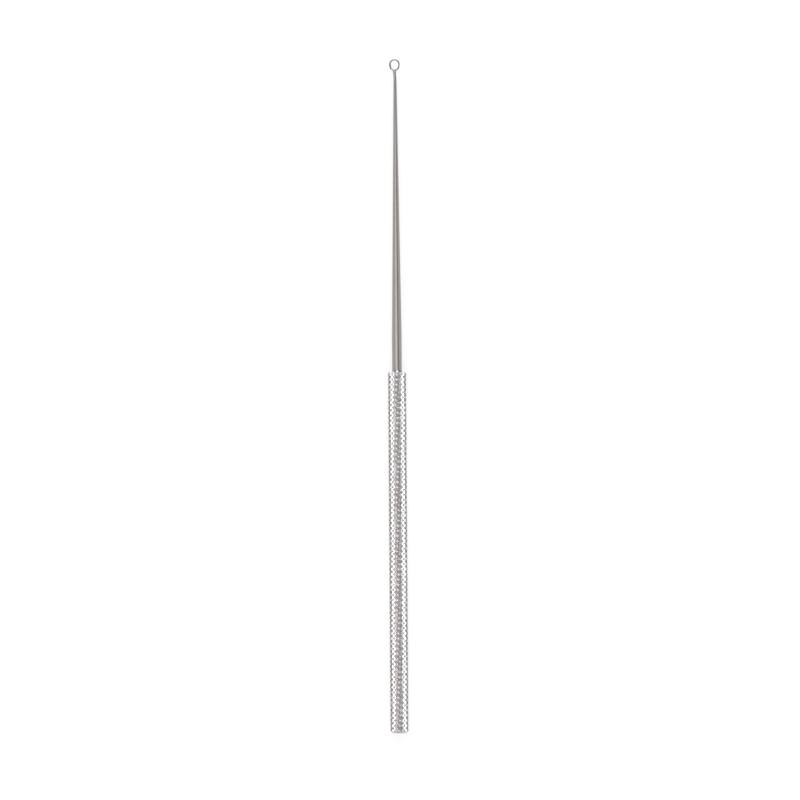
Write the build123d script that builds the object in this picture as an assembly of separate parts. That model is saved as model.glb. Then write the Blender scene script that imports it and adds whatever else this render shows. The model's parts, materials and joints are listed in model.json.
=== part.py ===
"""Inoculating loop: a small wire ring brazed to a tapered steel shank in a round knurled handle.

Units are millimetres.  The tool lies flat: its axis runs along Y with the ring towards +Y and the
butt towards -Y, +Z is up, and the handle rests on Z = 0.  The origin is under the middle of the
tool.  Each part is drawn along its own axis with the butt face at Y = 0, and placed at the end.
"""

from build123d import *
import math
import os

# ---- driving dimensions -------------------------------------------------------------------

OVERALL_LENGTH = 165.0       # butt face to the crown of the ring

HANDLE_DIAMETER = 4.6        # over the crests of the knurl
HANDLE_LENGTH = 88.3
BUTT_CHAMFER = 0.6
FRONT_CHAMFER = 0.3

SHANK_DIAMETER = 2.42        # parallel stretch and tang
SHANK_STRAIGHT = 8.8         # parallel stretch that shows in front of the handle
TANG_LENGTH = 12.5           # part of the shank inside the handle
TANG_CHAMFER = 0.3
NECK_DIAMETER = 0.74         # thinnest place, just behind the tip
NECK_TO_TIP = 1.5
TIP_DIAMETER = 0.86
TIP_FLARE_RISE = 0.008       # how far the concave flare hangs below its chord
SLOT_WIDTH = 0.36            # slot across the tip that takes the two wire legs
SLOT_DEPTH = 2.2

FILM_THICKNESS = 0.08        # braze between tang and bore
BORE_RUN_OUT = 1.0           # bore left empty behind the tang
DRILL_POINT_ANGLE = 118.0    # degrees
MOUTH_FILLET_RADIUS = 1.43   # braze fillet where it meets the handle's front face
MOUTH_FILLET_LENGTH = 0.9
MOUTH_FILLET_HOLLOW = 0.04   # how far the fillet's outline is hollowed

WIRE_DIAMETER = 0.34
RING_HALF_WIDTH = 1.07       # axis of the tool to the centre of the wire
SIDE_RADIUS = 4.0            # the ring's sides close in slowly ...
SIDE_TURN = 12.8             # ... through this angle, in degrees
CORNER_RADIUS = 0.32         # lower corners
THROAT_ANGLE = 51.0          # degrees between the tool's axis and the wire's run to the tip
THROAT_RADIUS = 0.30         # bend from that run into the leg
LEG_SPACING = 0.35           # between the centres of the two legs
LEG_LENGTH = 2.0

WEB_THICKNESS = 0.20         # braze web in the ring's throat
WEB_HALF_WIDTH = 0.46
WEB_ABOVE_TIP = 0.53         # ends of the web's hollow upper edge, measured from the tip
WEB_HOLLOW = 0.06
COLLAR_LENGTH = 0.30         # braze collar round the outside of the tip
COLLAR_THICKNESS = 0.015
COLLAR_HEAD_X = 0.49         # half-axes of the collar's oval head
COLLAR_HEAD_Z = 0.21
COLLAR_HEAD_ABOVE_TIP = 0.14

# ---- derived places along the tool's axis -------------------------------------------------

HANDLE_RADIUS = HANDLE_DIAMETER / 2
SHANK_RADIUS = SHANK_DIAMETER / 2
TIP_RADIUS = TIP_DIAMETER / 2
WIRE_RADIUS = WIRE_DIAMETER / 2
BORE_RADIUS = SHANK_RADIUS + FILM_THICKNESS
LEG_X = LEG_SPACING / 2

Y_TANG = HANDLE_LENGTH - TANG_LENGTH
Y_BORE_BOTTOM = Y_TANG - BORE_RUN_OUT
Y_TAPER = HANDLE_LENGTH + SHANK_STRAIGHT
Y_RING = OVERALL_LENGTH - WIRE_RADIUS - RING_HALF_WIDTH


def heading(turn):
    """Direction that leaves the ring's widest point, turned inwards by so many degrees."""
    return math.sin(math.radians(turn)), math.cos(math.radians(turn))


def ring_throat():
    """Length of the wire's straight run to the tip, and the Y where its leg becomes parallel."""
    sin_side, cos_side = heading(SIDE_TURN)
    sin_throat, cos_throat = heading(THROAT_ANGLE)
    x_run = RING_HALF_WIDTH - SIDE_RADIUS * (1 - cos_side) - CORNER_RADIUS * (cos_side - cos_throat)
    y_run = Y_RING - SIDE_RADIUS * sin_side - CORNER_RADIUS * (sin_throat - sin_side)
    run = (x_run - LEG_X - THROAT_RADIUS * (1 - cos_throat)) / sin_throat
    y_leg = y_run - run * cos_throat - THROAT_RADIUS * sin_throat
    return run, y_leg


THROAT_RUN, Y_LEG = ring_throat()
Y_TIP = Y_LEG
Y_NECK = Y_TIP - NECK_TO_TIP


# ---- helpers ------------------------------------------------------------------------------

def turned(outline):
    """Solid of revolution about the tool's axis from a closed outline of (radius, y) points."""
    with BuildPart() as part:
        with BuildSketch(Plane.XY):
            with BuildLine():
                Polyline(*outline, close=True)
            make_face()
        revolve(axis=Axis.Y)
    return part.part


def half_wire(side):
    """Centre line of one half of the ring: crown, side, corner, throat and leg.  side is 1 or -1."""
    crown = CenterArc((0, Y_RING), RING_HALF_WIDTH, 90, -90 * side)
    flank = JernArc(crown @ 1, crown % 1, SIDE_RADIUS, -SIDE_TURN * side)
    corner = JernArc(flank @ 1, flank % 1, CORNER_RADIUS, (SIDE_TURN - THROAT_ANGLE) * side)
    run = Line(corner @ 1, corner @ 1 + THROAT_RUN * (corner % 1))
    bend = JernArc(run @ 1, run % 1, THROAT_RADIUS, THROAT_ANGLE * side)
    leg = Line(bend @ 1, bend @ 1 + LEG_LENGTH * (bend % 1))
    return [crown, flank, corner, run, bend, leg]


# ---- parts --------------------------------------------------------------------------------

def make_handle():
    """Round bar with a chamfer at each end and a blind bore that ends in a drill point."""
    bar = turned([
        (0, 0),
        (HANDLE_RADIUS - BUTT_CHAMFER, 0),
        (HANDLE_RADIUS, BUTT_CHAMFER),
        (HANDLE_RADIUS, HANDLE_LENGTH - FRONT_CHAMFER),
        (HANDLE_RADIUS - FRONT_CHAMFER, HANDLE_LENGTH),
        (0, HANDLE_LENGTH),
    ])
    point_depth = BORE_RADIUS / math.tan(math.radians(DRILL_POINT_ANGLE / 2))
    bore = turned([
        (0, Y_BORE_BOTTOM - point_depth),
        (BORE_RADIUS, Y_BORE_BOTTOM),
        (BORE_RADIUS, HANDLE_LENGTH),
        (0, HANDLE_LENGTH),
    ])
    return bar - bore


def make_shank():
    """Tang, parallel stretch and long taper, with a flared and slotted tip."""
    flare_middle = ((NECK_DIAMETER + TIP_DIAMETER) / 4 - TIP_FLARE_RISE, (Y_NECK + Y_TIP) / 2)
    with BuildPart() as part:
        with BuildSketch(Plane.XY):
            with BuildLine():
                Polyline(
                    (0, Y_TIP),
                    (0, Y_TANG),
                    (SHANK_RADIUS - TANG_CHAMFER, Y_TANG),
                    (SHANK_RADIUS, Y_TANG + TANG_CHAMFER),
                    (SHANK_RADIUS, Y_TAPER),
                    (NECK_DIAMETER / 2, Y_NECK),
                )
                ThreePointArc((NECK_DIAMETER / 2, Y_NECK), flare_middle, (TIP_RADIUS, Y_TIP))
                Line((TIP_RADIUS, Y_TIP), (0, Y_TIP))
            make_face()
        revolve(axis=Axis.Y)
    slot = Pos(0, Y_TIP - SLOT_DEPTH / 2, 0) * Box(2 * TIP_DIAMETER, SLOT_DEPTH, SLOT_WIDTH)
    return part.part - slot


def make_handle_braze():
    """Film of braze round the tang, and the hollow fillet that it leaves at the handle's mouth."""
    y_mouth = HANDLE_LENGTH
    y_end = y_mouth + MOUTH_FILLET_LENGTH
    hollow = ((SHANK_RADIUS + MOUTH_FILLET_RADIUS) / 2 - MOUTH_FILLET_HOLLOW, (y_mouth + y_end) / 2)
    with BuildPart() as part:
        with BuildSketch(Plane.XY):
            with BuildLine():
                Polyline(
                    (SHANK_RADIUS, y_end),
                    (SHANK_RADIUS, Y_TANG + TANG_CHAMFER),
                    (BORE_RADIUS, Y_TANG + TANG_CHAMFER),
                    (BORE_RADIUS, y_mouth),
                    (MOUTH_FILLET_RADIUS, y_mouth),
                )
                ThreePointArc((MOUTH_FILLET_RADIUS, y_mouth), hollow, (SHANK_RADIUS, y_end))
            make_face()
        revolve(axis=Axis.Y)
    return part.part


def make_loop_wire():
    """One round wire: the ring and its two legs, which lie side by side in the tip's slot."""
    path = Wire(half_wire(1) + half_wire(-1))
    end = Plane(origin=(LEG_X, Y_LEG - LEG_LENGTH, 0), z_dir=(0, 1, 0))
    return sweep(end * Circle(WIRE_RADIUS), path=path)


def make_loop_braze(shank, wire):
    """Braze that fills the slot round the legs, collars the tip and webs the ring's throat."""
    foot = Plane(origin=(0, Y_TIP - COLLAR_LENGTH, 0), z_dir=(0, 1, 0))
    head = Plane(origin=(0, Y_TIP + COLLAR_HEAD_ABOVE_TIP, 0), z_dir=(0, 1, 0))
    collar = loft([foot * Circle(TIP_RADIUS + COLLAR_THICKNESS),
                   head * Ellipse(COLLAR_HEAD_X, COLLAR_HEAD_Z)])
    y_edge = Y_TIP + WEB_ABOVE_TIP
    with BuildPart() as web:
        with BuildSketch(Plane.XY):
            with BuildLine():
                ThreePointArc((WEB_HALF_WIDTH, y_edge), (0, y_edge - WEB_HOLLOW), (-WEB_HALF_WIDTH, y_edge))
                Polyline((-WEB_HALF_WIDTH, y_edge), (-LEG_X, Y_TIP), (LEG_X, Y_TIP), (WEB_HALF_WIDTH, y_edge))
            make_face()
        extrude(amount=WEB_THICKNESS / 2, both=True)
    slot_fill = Pos(0, Y_TIP - SLOT_DEPTH / 2, 0) * Box(NECK_DIAMETER - 0.06, SLOT_DEPTH, SLOT_WIDTH)
    return collar + web.part + slot_fill - shank - wire


def main():
    os.makedirs("parts", exist_ok=True)
    shank = make_shank()
    wire = make_loop_wire()
    parts = {
        "handle": make_handle(),
        "shank": shank,
        "handle_braze": make_handle_braze(),
        "loop_wire": wire,
        "loop_braze": make_loop_braze(shank, wire),
    }
    place = Pos(0, -OVERALL_LENGTH / 2, HANDLE_RADIUS)
    for name, shape in parts.items():
        export_step(place * shape, f"parts/{name}.step")


main()
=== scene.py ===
"""Looks of the inoculating loop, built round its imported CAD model.

The tool lies along Y with the ring towards +Y and +Z up.  Pieces are drawn in millimetres in the
model's own frame, and add_piece() turns them into metres.
"""

import json
import math

import bmesh
import bpy
import numpy as np
from mathutils import Matrix, Vector


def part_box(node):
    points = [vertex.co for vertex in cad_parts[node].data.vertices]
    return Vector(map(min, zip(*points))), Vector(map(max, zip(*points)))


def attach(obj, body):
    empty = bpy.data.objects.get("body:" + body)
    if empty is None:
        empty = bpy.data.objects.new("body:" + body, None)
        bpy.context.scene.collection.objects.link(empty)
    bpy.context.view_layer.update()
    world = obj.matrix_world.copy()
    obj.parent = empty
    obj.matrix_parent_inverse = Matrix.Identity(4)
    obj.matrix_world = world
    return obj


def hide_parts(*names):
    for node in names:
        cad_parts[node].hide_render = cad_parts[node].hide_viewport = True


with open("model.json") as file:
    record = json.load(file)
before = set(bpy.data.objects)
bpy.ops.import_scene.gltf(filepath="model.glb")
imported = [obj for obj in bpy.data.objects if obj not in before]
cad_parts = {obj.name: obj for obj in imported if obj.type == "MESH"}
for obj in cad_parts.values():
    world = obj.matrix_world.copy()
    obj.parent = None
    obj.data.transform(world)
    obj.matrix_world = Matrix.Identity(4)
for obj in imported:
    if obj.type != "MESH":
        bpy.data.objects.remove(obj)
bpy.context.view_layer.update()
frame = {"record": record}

MM = 0.001

# ---- sizes, from the CAD model where it states them ---------------------------------------


def cad_box_mm(node):
    """Lowest and highest corner of a CAD node, in millimetres."""
    return [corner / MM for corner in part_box(node)]


handle_low, handle_high = cad_box_mm("handle")
shank_low, shank_high = cad_box_mm("shank")
wire_low, wire_high = cad_box_mm("loop_wire")
fillet_high = cad_box_mm("handle_braze")[1]

HANDLE_R = frame["record"]["mounts"][0]["dims"]["r_mm"]
AXIS_Z = HANDLE_R
Y_BUTT = handle_low.y
Y_MOUTH = handle_high.y
BUTT_CHAMFER = 0.6
FRONT_CHAMFER = 0.3
EDGE_BREAK = 0.06            # small round on turned edges

SHANK_R = shank_high.x
Y_TANG = shank_low.y
Y_TIP = shank_high.y
SHANK_STRAIGHT = 8.8
NECK_R = 0.37
NECK_TO_TIP = 1.5
TIP_R = 0.43
SLOT_WIDTH = 0.36
SLOT_DEPTH = 2.2

FILM_THICKNESS = 0.08        # braze between tang and bore
BORE_R = SHANK_R + FILM_THICKNESS
BORE_RUN_OUT = 1.0           # bore left empty behind the tang
DRILL_POINT = 0.8            # depth of the cone at the bottom of the bore
TANG_CHAMFER = 0.3
FILLET_R = fillet_high.x
FILLET_LENGTH = fillet_high.y - Y_MOUTH

WIRE_R = (wire_high.z - wire_low.z) / 2
RING_HALF_WIDTH = wire_high.x - WIRE_R
Y_RING = wire_high.y - WIRE_R - RING_HALF_WIDTH
SIDE_RADIUS = 4.0
SIDE_TURN = math.radians(12.8)
CORNER_RADIUS = 0.32
THROAT_ANGLE = math.radians(51.0)
THROAT_RADIUS = 0.30
LEG_X = 0.175
Y_LEG_END = wire_low.y
RING_LEAN = 0.03             # how far the ring leans to the left of the tip
RING_SPREAD = 1.03           # how much wider than even the ring is pulled
TIP_BEND = 0.09              # how far the tip itself is bent to the left ...
TIP_BEND_LENGTH = 2.4        # ... over this length
LEAN_START = 0.10            # above the tip, where leaning and spreading set in ...
LEAN_LENGTH = 0.60           # ... until they are complete
LEFT_TUCK = 0.04             # how far its lower left corner is pressed in
RIGHT_TUCK = 0.05            # the same for its lower right corner
TUCK_BELOW = 0.90            # below the ring's widest place
TUCK_REACH = 0.40
SWELLING = 0.34              # how much thicker the wire is half-way down its left side
SWELLING_BELOW = 0.28        # below the ring's widest place
SWELLING_REACH = 0.38

WEB_THICKNESS = 0.20         # braze web in the ring's throat
WEB_HALF_WIDTH = 0.44
WEB_ABOVE_TIP = 0.52         # ends of the web's hollow upper edge, measured from the tip
WEB_HOLLOW = 0.07
COAT_THICKNESS = 0.055       # braze on the wire at the tip
FILLET_ABOVE_TIP = 0.62      # where the braze thins out to nothing on the wire
BRAZE_VOXEL = 0.015          # mesh size of the braze at the tip

# knurl: two families of helical V grooves, cut with a standard 0.8 mm wheel
STARTS = 14
LEAD_DOWN_RIGHT = 18.48      # lead of the grooves that run down to the right, seen from above
LEAD_DOWN_LEFT = 16.73
KNURL_DEPTH = 0.22           # crest to groove bottom
GROOVE_BOTTOM = 0.08         # half-width of the rounded groove bottom, as a share of the pitch
CREST_EDGE = 0.345           # where the flank meets the worn crest, as a share of the pitch
BOTTOM_LIFT = 0.90           # depth at those two places, as a share of the full depth
CREST_DROP = 0.03
KNURL_SHARP_ANGLE = 12.0     # degrees; keeps every facet of the knurl crisp
BRAZE_SHARP_ANGLE = 60.0     # degrees; keeps the braze soft
SHARP_ANGLE = 35.0           # degrees; for all other pieces


# ---- mesh helpers -------------------------------------------------------------------------

def add_piece(name, vertices, faces):
    """New mesh object from millimetre coordinates, smooth except at sharp edges."""
    mesh = bpy.data.meshes.new(name)
    mesh.from_pydata(np.asarray(vertices, float).tolist(), [], faces)
    mesh.transform(Matrix.Scale(MM, 4))
    piece = bpy.data.objects.new(name, mesh)
    bpy.context.scene.collection.objects.link(piece)
    finish_shading(piece)
    return piece


def finish_shading(piece, sharp_angle=SHARP_ANGLE):
    """Smooth shading with sharp edges where neighbouring faces turn by more than sharp_angle."""
    piece.data.shade_smooth()
    piece.data.set_sharp_from_angle(angle=math.radians(sharp_angle))


def apply_modifier(piece, kind, **settings):
    """Adds a modifier with these settings and applies it to the mesh."""
    modifier = piece.modifiers.new(kind, kind)
    for key, value in settings.items():
        setattr(modifier, key, value)
    graph = bpy.context.evaluated_depsgraph_get()
    mesh = bpy.data.meshes.new_from_object(piece.evaluated_get(graph))
    piece.modifiers.clear()
    old = piece.data
    piece.data = mesh
    mesh.name = piece.name
    bpy.data.meshes.remove(old)


def cut(piece, tool, operation):
    """Boolean of two closed meshes; the tool is used up."""
    apply_modifier(piece, "BOOLEAN", object=tool, operation=operation, solver="MANIFOLD")
    bpy.data.objects.remove(tool)


def arc_points(centre, radius, start, end, steps):
    """Points of a circular arc between two angles in radians, both ends included."""
    angles = np.linspace(start, end, steps + 1)
    return [(centre[0] + radius * math.cos(a), centre[1] + radius * math.sin(a)) for a in angles]


def eased(outline, radius, steps=4):
    """Outline with each inner corner replaced by a small round of this radius."""
    result = [outline[0]]
    for before, corner, after in zip(outline, outline[1:], outline[2:]):
        corner = Vector(corner)
        back = (Vector(before) - corner).normalized()
        ahead = (Vector(after) - corner).normalized()
        half_turn = back.angle(-ahead) / 2
        reach = radius * math.tan(half_turn)
        for i in range(steps + 1):
            t = i / steps
            a = corner + back * reach * (1 - t)
            b = corner + ahead * reach * t
            result.append(tuple(a.lerp(b, t)))
    result.append(outline[-1])
    return result


def lathe(name, outline, segments=96, closed=False, uneven=None):
    """Surface of revolution about the tool's axis from (radius, y) points.

    A point at radius 0 becomes a single pole.  closed joins the last point to the first.
    uneven(angles, radius, y) may return the radii and the y places that replace an even ring.
    """
    angles = np.arange(segments) * 2 * math.pi / segments
    vertices = []
    rings = []
    for radius, y in outline:
        if radius == 0:
            rings.append([len(vertices)] * segments)
            vertices.append((0, y, AXIS_Z))
            continue
        r, along = uneven(angles, radius, y) if uneven else (radius, y)
        rings.append(list(range(len(vertices), len(vertices) + segments)))
        along = along + np.zeros(segments)
        vertices += list(zip(r * np.sin(angles), along, AXIS_Z + r * np.cos(angles)))
    pairs = list(zip(rings, rings[1:]))
    if closed:
        pairs.append((rings[-1], rings[0]))
    faces = []
    for lower, upper in pairs:
        for i in range(segments):
            j = (i + 1) % segments
            corners = [lower[i], lower[j], upper[j], upper[i]]
            faces.append(list(dict.fromkeys(corners)))
    return add_piece(name, vertices, faces)


# ---- handle -------------------------------------------------------------------------------

GRID = 6                     # mesh steps across one groove pitch
STEP_SHARE = [0, GROOVE_BOTTOM, CREST_EDGE, 0.5, 1 - CREST_EDGE, 1 - GROOVE_BOTTOM]
STEP_DEPTH = [1, BOTTOM_LIFT, CREST_DROP, 0, CREST_DROP, BOTTOM_LIFT]


def knurl_blank(name):
    """Closed bar a little longer than the handle, covered by the crossed grooves.

    The mesh follows both families of grooves, so every groove bottom and crest is an edge.  A
    vertex (p, q) lies p steps across one family and q across the other, and all vertices with the
    same p - q are about one ring round the bar.
    """
    pitch_a = LEAD_DOWN_RIGHT / STARTS
    pitch_b = LEAD_DOWN_LEFT / STARTS
    round_steps = STARTS * GRID
    share = np.array(STEP_SHARE)
    depth = np.array(STEP_DEPTH)
    ring_rise = pitch_a * pitch_b / (pitch_a + pitch_b) / GRID
    rings = math.ceil((Y_MOUTH - Y_BUTT + 1.0) / ring_rise)
    first = -math.ceil(0.5 / ring_rise)

    p = np.arange(round_steps)[None, :] + np.zeros((rings, 1), int)
    q = p - (np.arange(rings) + first)[:, None]
    along_a = p // GRID + share[p % GRID]
    along_b = q // GRID + share[q % GRID]
    y = Y_BUTT + (along_a - along_b) * pitch_a * pitch_b / (pitch_a + pitch_b)
    angle = 2 * math.pi / STARTS * (along_a * pitch_a + along_b * pitch_b) / (pitch_a + pitch_b)
    r = HANDLE_R - KNURL_DEPTH * np.maximum(depth[p % GRID], depth[q % GRID])
    grid = np.stack([r * np.sin(angle), y, AXIS_Z + r * np.cos(angle)], -1).reshape(-1, 3)

    def at(ring, step):
        return ring * round_steps + step % round_steps

    faces = []
    for ring in range(1, rings - 1):
        for step in range(round_steps):
            left, right = at(ring, step), at(ring, step + 1)
            top, bottom = at(ring + 1, step + 1), at(ring - 1, step)
            i, j = step % GRID, (step - ring - first) % GRID
            if i == j:
                faces += [[left, bottom, right], [left, right, top]]
            elif i + j == GRID - 1:
                faces += [[left, bottom, top], [bottom, right, top]]
            else:
                faces.append([left, bottom, right, top])
    low_pole, high_pole = len(grid), len(grid) + 1
    last = rings - 1
    for step in range(round_steps):
        faces += [[low_pole, at(1, step + 1), at(0, step)], [low_pole, at(0, step), at(1, step)]]
        faces += [[high_pole, at(last - 1, step), at(last, step + 1)],
                  [high_pole, at(last, step + 1), at(last - 1, step + 1)]]
    poles = [(0, grid[:, 1].min() - 0.5, AXIS_Z), (0, grid[:, 1].max() + 0.5, AXIS_Z)]
    return add_piece(name, np.vstack([grid, poles]), faces)


def make_handle():
    """Knurled bar, cut to length, chamfered at both ends and bored at the front."""
    handle = knurl_blank("knurled_handle")
    clear = 0.05
    skin = [
        (0, Y_BUTT),
        (HANDLE_R - BUTT_CHAMFER, Y_BUTT),
        (HANDLE_R + clear, Y_BUTT + BUTT_CHAMFER + clear),
        (HANDLE_R + clear, Y_MOUTH - FRONT_CHAMFER - clear),
        (HANDLE_R - FRONT_CHAMFER, Y_MOUTH),
        (BORE_R, Y_MOUTH),
        (BORE_R, Y_TANG - BORE_RUN_OUT),
        (0, Y_TANG - BORE_RUN_OUT - DRILL_POINT),
    ]
    envelope = lathe("envelope", eased(skin, EDGE_BREAK), segments=168)
    cut(handle, envelope, "INTERSECT")
    finish_shading(handle, KNURL_SHARP_ANGLE)
    return handle


# ---- shank --------------------------------------------------------------------------------

def bend_tip(piece):
    """Shifts what lies towards the tip a little to the left, in one soft bend."""
    for vertex in piece.data.vertices:
        t = min(max((vertex.co.y / MM - Y_TIP) / TIP_BEND_LENGTH + 1, 0), 1)
        vertex.co.x -= TIP_BEND * MM * t * t * (3 - 2 * t)


def make_shank():
    """Tang, parallel stretch, long taper and flared tip, slotted for the wire's legs."""
    y_taper = Y_MOUTH + SHANK_STRAIGHT
    y_neck = Y_TIP - NECK_TO_TIP
    taper = [(SHANK_R + (NECK_R - SHANK_R) * t, y_taper + (y_neck - y_taper) * t)
             for t in np.linspace(0, 1, 49)]
    flare = [(NECK_R + (TIP_R - NECK_R) * t ** 1.4, y_neck + NECK_TO_TIP * t)
             for t in np.linspace(0, 1, 13)[1:-1]]
    tip_round = arc_points((TIP_R - EDGE_BREAK, Y_TIP - EDGE_BREAK), EDGE_BREAK, 0, math.pi / 2, 5)
    outline = [(0, Y_TANG), (SHANK_R - TANG_CHAMFER, Y_TANG), (SHANK_R, Y_TANG + TANG_CHAMFER),
               (SHANK_R, Y_MOUTH)]
    outline += taper + flare + tip_round + [(0, Y_TIP)]
    shank = lathe("tapered_shank", outline)
    slot = box("slot", (0, Y_TIP - SLOT_DEPTH / 2 + 0.1, AXIS_Z),
               (2.0, SLOT_DEPTH + 0.2, SLOT_WIDTH))
    cut(shank, slot, "DIFFERENCE")
    bend_tip(shank)
    finish_shading(shank)
    return shank


def box(name, centre, size):
    """Plain box, used as a cutting tool."""
    signs = [(x, y, z) for x in (-1, 1) for y in (-1, 1) for z in (-1, 1)]
    vertices = np.array(centre) + np.array(signs) * np.array(size) / 2
    faces = [[0, 1, 3, 2], [4, 6, 7, 5], [0, 4, 5, 1], [2, 3, 7, 6], [0, 2, 6, 4], [1, 5, 7, 3]]
    return add_piece(name, vertices, faces)


# ---- ring ---------------------------------------------------------------------------------

def half_ring(steps_per_mm=28):
    """Centre line of the right half of the wire, from the crown to the end of its leg, as (x, y)."""
    point = np.array([0.0, Y_RING + RING_HALF_WIDTH])
    heading = 0.0            # radians below +X
    points = [point]

    def bend(radius, turn):
        nonlocal point, heading
        steps = max(4, round(abs(radius * turn) * steps_per_mm))
        for _ in range(steps):
            chord = 2 * radius * math.sin(abs(turn) / steps / 2)
            heading_middle = heading + turn / steps / 2
            point = point + chord * np.array([math.cos(heading_middle), -math.sin(heading_middle)])
            heading += turn / steps
            points.append(point)

    def straight(length):
        nonlocal point
        steps = max(2, round(length * steps_per_mm))
        for _ in range(steps):
            point = point + length / steps * np.array([math.cos(heading), -math.sin(heading)])
            points.append(point)

    bend(RING_HALF_WIDTH, math.pi / 2)
    bend(SIDE_RADIUS, SIDE_TURN)
    bend(CORNER_RADIUS, THROAT_ANGLE - SIDE_TURN)
    run = (point[0] - LEG_X - THROAT_RADIUS * (1 - math.cos(THROAT_ANGLE))) / math.sin(THROAT_ANGLE)
    straight(run)
    bend(THROAT_RADIUS, -THROAT_ANGLE)
    straight(point[1] - Y_LEG_END)
    return np.array(points)


def tube(name, line, radii, segments=32):
    """Round tube along a line of (x, y) points in the ring's plane, closed at both ends."""
    ahead = np.gradient(line, axis=0)
    ahead /= np.linalg.norm(ahead, axis=1)[:, None]
    side = np.stack([ahead[:, 1], -ahead[:, 0]], -1)
    angles = np.arange(segments) * 2 * math.pi / segments
    vertices = []
    for (x, y), (sx, sy), r in zip(line, side, radii):
        for a in angles:
            c = r * math.cos(a)
            vertices.append((x + c * sx, y + c * sy, AXIS_Z + r * math.sin(a)))
    faces = []
    for i in range(len(line) - 1):
        for j in range(segments):
            k = (j + 1) % segments
            here, there = i * segments, (i + 1) * segments
            faces.append([here + j, here + k, there + k, there + j])
    end = (len(line) - 1) * segments
    faces.append(list(range(segments))[::-1])
    faces.append([end + j for j in range(segments)])
    return add_piece(name, vertices, faces)


def hand_bent(line):
    """The ring as a hand leaves it: leaning a little to the left, its lower corners pressed in."""
    x, y = line[:, 0], line[:, 1] - Y_RING
    above_legs = np.clip((y - (Y_TIP - Y_RING) - LEAN_START) / LEAN_LENGTH, 0, 1)
    above_legs = above_legs ** 2 * (3 - 2 * above_legs)
    press = np.where(x < 0, LEFT_TUCK, -RIGHT_TUCK) * np.exp(-((y + TUCK_BELOW) / TUCK_REACH) ** 2)
    spread = 1 + (RING_SPREAD - 1) * above_legs
    return np.stack([x * spread + (press - RING_LEAN) * above_legs, line[:, 1]], -1)


def wire_line():
    """Centre line of the whole wire, from the end of the left leg to the end of the right leg."""
    right = half_ring()
    left = right[:0:-1] * [-1, 1]
    return hand_bent(np.vstack([left, right]))


def make_ring():
    """One wire, bent by hand into the ring, with its two legs in the tip's slot."""
    line = wire_line()
    t = np.linspace(0, 1, len(line))
    below = (line[:, 1] - Y_RING + SWELLING_BELOW) / SWELLING_REACH
    swollen_side = SWELLING * np.exp(-below ** 2) * (line[:, 0] < 0)
    radii = WIRE_R * (1 + 0.015 * np.sin(23 * t + 1) + 0.010 * np.sin(57 * t) + swollen_side)
    ring = tube("ring_wire", line, radii)
    bend_tip(ring)
    return ring


# ---- braze --------------------------------------------------------------------------------

# collar round the tip: past the tip, and how much wider and higher than the tip it is there
COLLAR = [(-0.30, 0, 0), (-0.24, 0.012, 0.012), (-0.14, 0.022, 0.022), (-0.04, 0.028, 0.026),
          (0.02, 0.030, -0.01), (0.08, 0.035, -0.12), (0.14, 0.030, -0.19), (0.20, 0.010, -0.235)]
# lumps in the throat: right of the axis, past the tip, above the axis, and radius
BEADS = [(-0.17, 0.32, 0.09, 0.11), (0.15, 0.22, 0.05, 0.10)]


def make_mouth_braze():
    """Film round the tang and the hollow fillet that the braze leaves at the handle's mouth."""
    steps = 14
    fillet = [(SHANK_R + (FILLET_R - SHANK_R) * (1 - t) ** 2.0, Y_MOUTH + FILLET_LENGTH * t)
              for t in np.linspace(0, 1, steps)]
    y_film = Y_TANG + TANG_CHAMFER
    film = [(SHANK_R, y_film), (BORE_R, y_film), (BORE_R, Y_MOUTH)]

    def uneven(angles, radius, y):
        t = (y - Y_MOUTH) / FILLET_LENGTH
        if t < 0 or radius == BORE_R:
            return radius, y
        reach = 0.62 + 0.30 * np.sin(angles) + 0.05 * np.sin(5 * angles + 2.0)
        lump = 0.018 * math.sin(math.pi * t) * (1 + np.sin(3 * angles + 1.0) * np.sin(7 * angles))
        foot = 1 - 0.012 * (1 - t) * (1 + np.sin(4 * angles + 0.4))
        return radius * foot + lump, Y_MOUTH + FILLET_LENGTH * t * reach

    return lathe("mouth_braze", film + fillet, closed=True, uneven=uneven)


def oval_plug(stations, segments=48):
    """Vertices and faces of a closed plug round the tool's axis from (y, half_x, half_z) stations."""
    angles = np.arange(segments) * 2 * math.pi / segments
    vertices = [(half_x * math.cos(a), y, AXIS_Z + half_z * math.sin(a))
                for y, half_x, half_z in stations for a in angles]
    faces = []
    for i in range(len(stations) - 1):
        for j in range(segments):
            k = (j + 1) % segments
            here, there = i * segments, (i + 1) * segments
            faces.append([here + j, there + j, there + k, here + k])
    end = (len(stations) - 1) * segments
    faces.append(list(range(segments)))
    faces.append([end + j for j in range(segments)][::-1])
    return vertices, faces


def web_plate(y_edge, half_width, hollow, thickness, steps=10):
    """Vertices and faces of the web: it fills the throat up to a hollow edge."""
    rim = [(half_width * u, y_edge - hollow * (1 - u * u)) for u in np.linspace(1, -1, steps + 1)]
    outline = [(LEG_X, Y_TIP - 0.1)] + rim + [(-LEG_X, Y_TIP - 0.1)]
    count = len(outline)
    vertices = [(x, y, AXIS_Z + z) for z in (-thickness / 2, thickness / 2) for x, y in outline]
    faces = [list(range(count))[::-1], list(range(count, 2 * count))]
    for i in range(count):
        j = (i + 1) % count
        faces.append([i, j, count + j, count + i])
    return vertices, faces


def bead(centre, radius):
    """Vertices and faces of a small ball of braze."""
    mesh = bmesh.new()
    bmesh.ops.create_icosphere(mesh, subdivisions=3, radius=radius, matrix=Matrix.Translation(centre))
    vertices = [tuple(v.co) for v in mesh.verts]
    faces = [[v.index for v in face.verts] for face in mesh.faces]
    mesh.free()
    return vertices, faces


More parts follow.
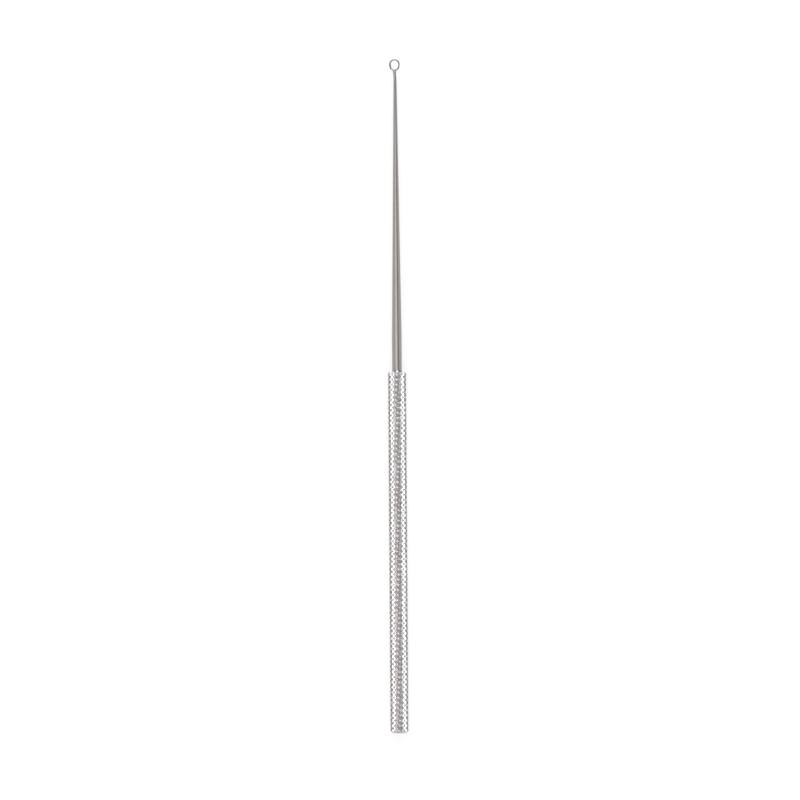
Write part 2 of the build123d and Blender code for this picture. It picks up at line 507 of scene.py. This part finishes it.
def make_throat_braze():
    """Braze that fills the slot, collars the tip and webs the throat, drawn into one soft skin."""
    parts = []
    parts.append(oval_plug([(Y_TIP + dy, TIP_R + dx, TIP_R + dz) for dy, dx, dz in COLLAR]))
    parts.append(web_plate(Y_TIP + WEB_ABOVE_TIP, WEB_HALF_WIDTH, WEB_HOLLOW, WEB_THICKNESS))
    parts += [bead((x, Y_TIP + dy, AXIS_Z + dz), radius) for x, dy, dz, radius in BEADS]
    fill = box("fill", (0, Y_TIP - SLOT_DEPTH / 2 + 0.05, AXIS_Z),
               (2 * NECK_R - 0.03, SLOT_DEPTH + 0.05, SLOT_WIDTH + 0.02))
    parts.append(mesh_parts(fill))

    line = wire_line()
    y_stop = Y_TIP + FILLET_ABOVE_TIP
    for side in (-1, 1):
        run = line[(line[:, 0] * side > 0) & (line[:, 1] > Y_TIP - 0.15) & (line[:, 1] < y_stop)]
        along = (run[:, 1] - run[:, 1].min()) / (run[:, 1].max() - run[:, 1].min())
        coat = tube("coat", run, WIRE_R + COAT_THICKNESS * (1 - along) ** 0.8)
        parts.append(mesh_parts(coat))

    vertices = []
    faces = []
    for part_vertices, part_faces in parts:
        faces += [[len(vertices) + i for i in face] for face in part_faces]
        vertices += part_vertices
    mesh = bpy.data.meshes.new("throat_braze")
    mesh.from_pydata(vertices, [], faces)
    braze = bpy.data.objects.new("throat_braze", mesh)
    bpy.context.scene.collection.objects.link(braze)
    apply_modifier(braze, "REMESH", mode="VOXEL", voxel_size=BRAZE_VOXEL)
    apply_modifier(braze, "SMOOTH", factor=0.5, iterations=12)
    braze.data.transform(Matrix.Scale(MM, 4))
    bend_tip(braze)
    finish_shading(braze, BRAZE_SHARP_ANGLE)
    return braze


def mesh_parts(piece):
    """Vertices in millimetres and faces of a helper piece, which is used up."""
    vertices = [tuple(v.co / MM) for v in piece.data.vertices]
    faces = [list(polygon.vertices) for polygon in piece.data.polygons]
    bpy.data.objects.remove(piece)
    return vertices, faces


# ---- materials ----------------------------------------------------------------------------

class NodeKit:
    """Short calls for building a node tree; a value may be a number, a tuple or another socket."""

    def __init__(self, tree):
        self.tree = tree

    def put(self, socket, value):
        """Links a socket or sets its value."""
        if isinstance(value, bpy.types.NodeSocket):
            self.tree.links.new(value, socket)
        else:
            socket.default_value = value

    def add(self, kind, settings=None, **values):
        """New node; values are keyed by socket name, with _ for a space."""
        node = self.tree.nodes.new(kind)
        for key, value in (settings or {}).items():
            setattr(node, key, value)
        for key, value in values.items():
            self.put(node.inputs[key.replace("_", " ")], value)
        return node

    def math(self, operation, a, b=0.0):
        node = self.add("ShaderNodeMath", {"operation": operation})
        self.put(node.inputs[0], a)
        self.put(node.inputs[1], b)
        return node.outputs[0]

    def vector(self, operation, a, b=(0, 0, 0)):
        node = self.add("ShaderNodeVectorMath", {"operation": operation})
        self.put(node.inputs[0], a)
        self.put(node.inputs[1], b)
        return node.outputs["Value" if operation in ("DOT_PRODUCT", "LENGTH") else "Vector"]

    def remap(self, value, low, high, to_low=0.0, to_high=1.0, kind="SMOOTHSTEP"):
        node = self.add("ShaderNodeMapRange", {"interpolation_type": kind}, Value=value,
                        From_Min=low, From_Max=high, To_Min=to_low, To_Max=to_high)
        return node.outputs["Result"]

    def mix(self, factor, a, b):
        node = self.add("ShaderNodeMix", {"data_type": "RGBA"})
        self.put(node.inputs[0], factor)
        self.put(node.inputs[6], a)
        self.put(node.inputs[7], b)
        return node.outputs[2]

    def noise(self, place, stretch, detail=2.0):
        """Smooth noise of 0 to 1; stretch is how many grains go into a millimetre along X, Y, Z."""
        spread = self.vector("MULTIPLY", place, stretch)
        return self.add("ShaderNodeTexNoise", Vector=spread, Scale=1.0, Detail=detail).outputs["Fac"]


def metal(name, colour, roughness, height, relief):
    """Metal material; the arguments may be functions of the node kit and the place in millimetres.

    relief is the depth of the bumps, in metres, where height goes from 0 to 1.
    """
    material = bpy.data.materials.new(name)
    material.use_nodes = True
    kit = NodeKit(material.node_tree)
    place = kit.add("ShaderNodeTexCoord").outputs["Object"]
    place = kit.vector("MULTIPLY", place, (1 / MM, 1 / MM, 1 / MM))
    shader = material.node_tree.nodes["Principled BSDF"]
    shader.inputs["Metallic"].default_value = 1
    kit.put(shader.inputs["Base Color"], colour(kit, place))
    kit.put(shader.inputs["Roughness"], roughness(kit, place))
    bump = kit.add("ShaderNodeBump", Strength=1.0, Distance=relief, Height=height(kit, place))
    kit.put(shader.inputs["Normal"], bump.outputs["Normal"])
    return material


def grey(level, red=1.0, blue=1.0):
    """Opaque grey, with its red and blue scaled for a slight tint."""
    return (level * red, level, level * blue, 1)


def axis_distance(kit, place):
    """Distance from the tool's axis, in millimetres."""
    flat = kit.vector("MULTIPLY", kit.vector("SUBTRACT", place, (0, 0, AXIS_Z)), (1, 0, 1))
    return kit.vector("LENGTH", flat)


def turned_face(kit):
    """1 on the end faces and chamfers, 0 on the knurl."""
    normal = kit.add("ShaderNodeTexCoord").outputs["Normal"]
    steepness = kit.math("ABSOLUTE", kit.vector("DOT_PRODUCT", normal, (0, 1, 0)))
    return kit.remap(steepness, 0.58, 0.66)


def knurled_steel():
    """Bright worn crests, satin flanks, residue and painted shade darkening the grooves, and a dull
    butt end.
    """

    def height_share(kit, place):
        """0 at the bottom of the grooves, 1 at the crests."""
        radius = axis_distance(kit, place)
        return kit.remap(radius, HANDLE_R - KNURL_DEPTH, HANDLE_R, kind="LINEAR")

    # 1 low in the grooves: real residue there, together with painted shade for the shade the grooves
    #                       hold
    def residue_and_shade(kit, place):
        fill = kit.remap(kit.noise(place, (1.3, 1.3, 1.3), 3.0), 0.36, 0.64, -0.08, 0.16)
        level = kit.math("SUBTRACT", height_share(kit, place), fill)
        mask = kit.remap(level, -0.12, 0.12, 1.0, 0.0)
        return kit.math("MULTIPLY", mask, kit.math("SUBTRACT", 1.0, turned_face(kit)))

    def colour(kit, place):
        broad = kit.noise(place, (0.5, 0.22, 0.5), 3.0)
        flank = kit.mix(broad, grey(0.69, 1.035), grey(0.79, 1.03))
        # grooves painted dark: partly residue, partly painted shade
        dirt_and_shade = kit.mix(residue_and_shade(kit, place), flank, grey(0.36, 1.05, 0.98))
        worn = kit.remap(height_share(kit, place), 0.86, 0.96)
        worn = kit.math("MULTIPLY", worn, kit.remap(kit.noise(place, (2, 2, 2)), 0.35, 0.6))
        knurl = kit.mix(worn, dirt_and_shade, grey(0.68, 1.03))
        y = kit.vector("DOT_PRODUCT", place, (0, 1, 0))
        butt = kit.math("MULTIPLY", turned_face(kit), kit.math("LESS_THAN", y, 0.0))
        return kit.mix(butt, knurl, grey(0.50, 1.03))

    def roughness(kit, place):
        grain = kit.noise(place, (11, 11, 11), 3.0)
        base = kit.remap(grain, 0.3, 0.7, 0.15, 0.27)
        return kit.math("ADD", base, kit.math("MULTIPLY", residue_and_shade(kit, place), 0.22))

    def height(kit, place):
        rings = kit.math("SINE", kit.math("MULTIPLY", axis_distance(kit, place), 88.0))
        rings = kit.math("MULTIPLY", kit.math("MULTIPLY", rings, 0.5), turned_face(kit))
        return kit.math("ADD", rings, kit.noise(place, (16, 16, 16), 3.0))

    return metal("knurled_steel", colour, roughness, height, 3e-6)


def near_joint(kit, place, y_joint, reach):
    """1 at a brazed joint, 0 beyond reach from it."""
    y = kit.vector("DOT_PRODUCT", place, (0, 1, 0))
    away = kit.math("ABSOLUTE", kit.math("SUBTRACT", y, y_joint))
    return kit.remap(away, 0.2 * reach, reach, 1.0, 0.0)


def satin_steel():
    """Ground steel: fine rings round the axis, duller where the torch heated it."""

    def colour(kit, place):
        cloud = kit.noise(place, (0.8, 0.35, 0.8), 3.0)
        steel = kit.mix(cloud, grey(0.320, 1.05, 0.96), grey(0.370, 1.05, 0.96))
        dull = kit.math("MAXIMUM", near_joint(kit, place, Y_MOUTH, 1.5),
                        near_joint(kit, place, Y_TIP, 16.0))
        return kit.mix(dull, steel, grey(0.330, 1.01, 0.99))

    def rings(kit, place):
        return kit.noise(place, (1.2, 26, 1.2), 4.0)

    def roughness(kit, place):
        handled = kit.math("MULTIPLY", kit.noise(place, (0.6, 0.25, 0.6), 3.0), 0.08)
        return kit.math("ADD", handled, kit.remap(rings(kit, place), 0.3, 0.7, 0.09, 0.19))

    return metal("satin_steel", colour, roughness, rings, 1.2e-6)


def wire_steel():
    """Drawn wire, slightly darker from the flame, most of all beside the braze."""

    def colour(kit, place):
        patches = kit.noise(place, (3, 3, 3), 3.0)
        steel = kit.mix(patches, grey(0.25), grey(0.36))
        return kit.mix(near_joint(kit, place, Y_TIP, 1.6), steel, grey(0.24, 1.02, 0.98))

    def roughness(kit, place):
        return kit.remap(kit.noise(place, (14, 14, 14), 3.0), 0.3, 0.7, 0.16, 0.32)

    def height(kit, place):
        return kit.noise(place, (24, 24, 24), 3.0)

    return metal("wire_steel", colour, roughness, height, 1.5e-6)


def silver_braze():
    """Pale silver alloy that flowed and froze, with a few dull spots of flux."""

    def flux(kit, place):
        return kit.remap(kit.noise(place, (5, 5, 5), 4.0), 0.62, 0.74)

    def colour(kit, place):
        clean = kit.mix(kit.noise(place, (2, 2, 2)), grey(0.43, 1.01, 0.99), grey(0.55, 1.01, 0.99))
        return kit.mix(kit.math("MULTIPLY", flux(kit, place), 0.7), clean, grey(0.24, 1.03, 0.97))

    def roughness(kit, place):
        skin = kit.remap(kit.noise(place, (7, 7, 7), 3.0), 0.3, 0.7, 0.14, 0.26)
        return kit.math("ADD", skin, kit.math("MULTIPLY", flux(kit, place), 0.25))

    def height(kit, place):
        return kit.noise(place, (4, 4, 4), 4.0)

    return metal("silver_braze", colour, roughness, height, 2.5e-5)


def dress(piece, material, slot, *nodes):
    """Gives a piece its material, hangs it on the root body and hides the CAD nodes it stands for."""
    piece.data.materials.clear()
    piece.data.materials.append(material)
    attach(piece, "root")
    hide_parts(*nodes)


braze_metal = silver_braze()
dress(make_handle(), knurled_steel(), "knurled_steel", "handle")
dress(make_shank(), satin_steel(), "satin_steel", "shank")
dress(make_ring(), wire_steel(), "wire_steel", "loop_wire")
dress(make_mouth_braze(), braze_metal, "silver_braze", "handle_braze")
dress(make_throat_braze(), braze_metal, "silver_braze", "loop_braze")


# ---- stage, light and camera ---------------------------------------------------------------

VIEW_WIDTH = 0.1959          # width of the table that the picture takes in, at the tool's height
VIEW_CENTRE = (0.00068, -0.00098)
VIEW_ROLL = math.radians(-0.395)
LENS = 200.0
SENSOR = 36.0
FLOOR_GREY = 0.28
FLOOR_GLOW = 0.77            # lit from below, so that the tool casts hardly any shadow

TENT_LEVEL = 0.26            # even light of the tent all round
ARCH_LEVEL = 0.68            # extra along a narrow arch across the tool
ARCH_EDGES = (0.05, 0.22)    # sine of the angles off the arch where it starts to fade and is gone
TOP_LEVEL = 0.72             # extra near the top of that arch, a little to the left
TOP_PANEL = (-90, 80, 6, 34)         # turn from +Y, elevation, inner and outer angle, in degrees
PANEL_LEVEL = 2.30           # soft panels beyond the two ends of the tool
RING_END_PANEL = (2, 43, 8, 32)
BUTT_END_PANEL = (178, 43, 8, 32)
SEAM_SHADE = 0.86            # how much the dark seam of the tent takes away
SEAM_ELEVATION = 61          # degrees, on the right of the tool
SEAM_EDGES = (5, 14)         # degrees off the seam where it starts to fade and is gone


def make_floor():
    """Large pale table top."""
    half = 8.0
    mesh = bpy.data.meshes.new("floor")
    mesh.from_pydata([(-half, -half, 0), (half, -half, 0), (half, half, 0), (-half, half, 0)], [],
                     [[0, 1, 2, 3]])
    floor = bpy.data.objects.new("floor", mesh)
    bpy.context.scene.collection.objects.link(floor)
    material = bpy.data.materials.new("floor_white")
    material.use_nodes = True
    shader = material.node_tree.nodes["Principled BSDF"]
    shader.inputs["Base Color"].default_value = (FLOOR_GREY, FLOOR_GREY, FLOOR_GREY, 1)
    shader.inputs["Roughness"].default_value = 0.9
    shader.inputs["Emission Color"].default_value = (1, 1, 1, 1)
    shader.inputs["Emission Strength"].default_value = FLOOR_GLOW
    mesh.materials.append(material)


def make_sky():
    """Soft studio light from all round: an even tent with brighter panels and one dark seam."""
    world = bpy.data.worlds.new("studio")
    bpy.context.scene.world = world
    world.use_nodes = True
    kit = NodeKit(world.node_tree)
    direction = kit.add("ShaderNodeTexCoord").outputs["Generated"]

    def toward(from_y, elevation):
        """Unit vector; from_y is the turn from +Y towards +X, in degrees."""
        a, e = math.radians(from_y), math.radians(elevation)
        return (math.sin(a) * math.cos(e), math.cos(a) * math.cos(e), math.sin(e))

    def panel(from_y, elevation, inner, outer, strength):
        """Soft round patch of light, even within the inner angle and gone beyond the outer."""
        near = kit.vector("DOT_PRODUCT", direction, toward(from_y, elevation))
        edges = [math.cos(math.radians(a)) for a in (outer, inner)]
        return kit.remap(near, *edges, 0, strength)

    along = kit.math("ABSOLUTE", kit.vector("DOT_PRODUCT", direction, (0, 1, 0)))
    across = kit.remap(along, *ARCH_EDGES, 1.0, 0.0)
    arch = kit.math("ADD", panel(*TOP_PANEL, TOP_LEVEL), ARCH_LEVEL)
    level = kit.math("ADD", kit.math("MULTIPLY", across, arch), TENT_LEVEL)
    for light in (panel(*RING_END_PANEL, PANEL_LEVEL), panel(*BUTT_END_PANEL, PANEL_LEVEL)):
        level = kit.math("ADD", level, light)
    seam = kit.math("ABSOLUTE", kit.vector("DOT_PRODUCT", direction, toward(90, SEAM_ELEVATION - 90)))
    seam = kit.remap(seam, *[math.sin(math.radians(a)) for a in SEAM_EDGES], 1.0, 0.0)
    one_side = kit.remap(kit.vector("DOT_PRODUCT", direction, (1, 0, 0)), 0.1, 0.3)
    shade = kit.math("MULTIPLY", kit.math("MULTIPLY", seam, one_side), across)
    shade = kit.math("SUBTRACT", 1.0, kit.math("MULTIPLY", shade, SEAM_SHADE))
    background = world.node_tree.nodes["Background"]
    kit.put(background.inputs["Strength"], kit.math("MULTIPLY", level, shade))
    background.inputs["Color"].default_value = (1, 1, 1, 1)


def make_camera():
    """Long lens straight above the tool, square to the ring's plane."""
    data = bpy.data.cameras.new("camera")
    data.lens = LENS
    data.sensor_width = SENSOR
    data.clip_end = 20
    camera = bpy.data.objects.new("camera", data)
    distance = VIEW_WIDTH * LENS / SENSOR
    camera.location = (*VIEW_CENTRE, distance + AXIS_Z * MM)
    camera.rotation_euler = (0, 0, VIEW_ROLL)
    bpy.context.scene.collection.objects.link(camera)
    bpy.context.scene.camera = camera
    bpy.context.scene.view_settings.view_transform = "Standard"


make_floor()
make_sky()
make_camera()
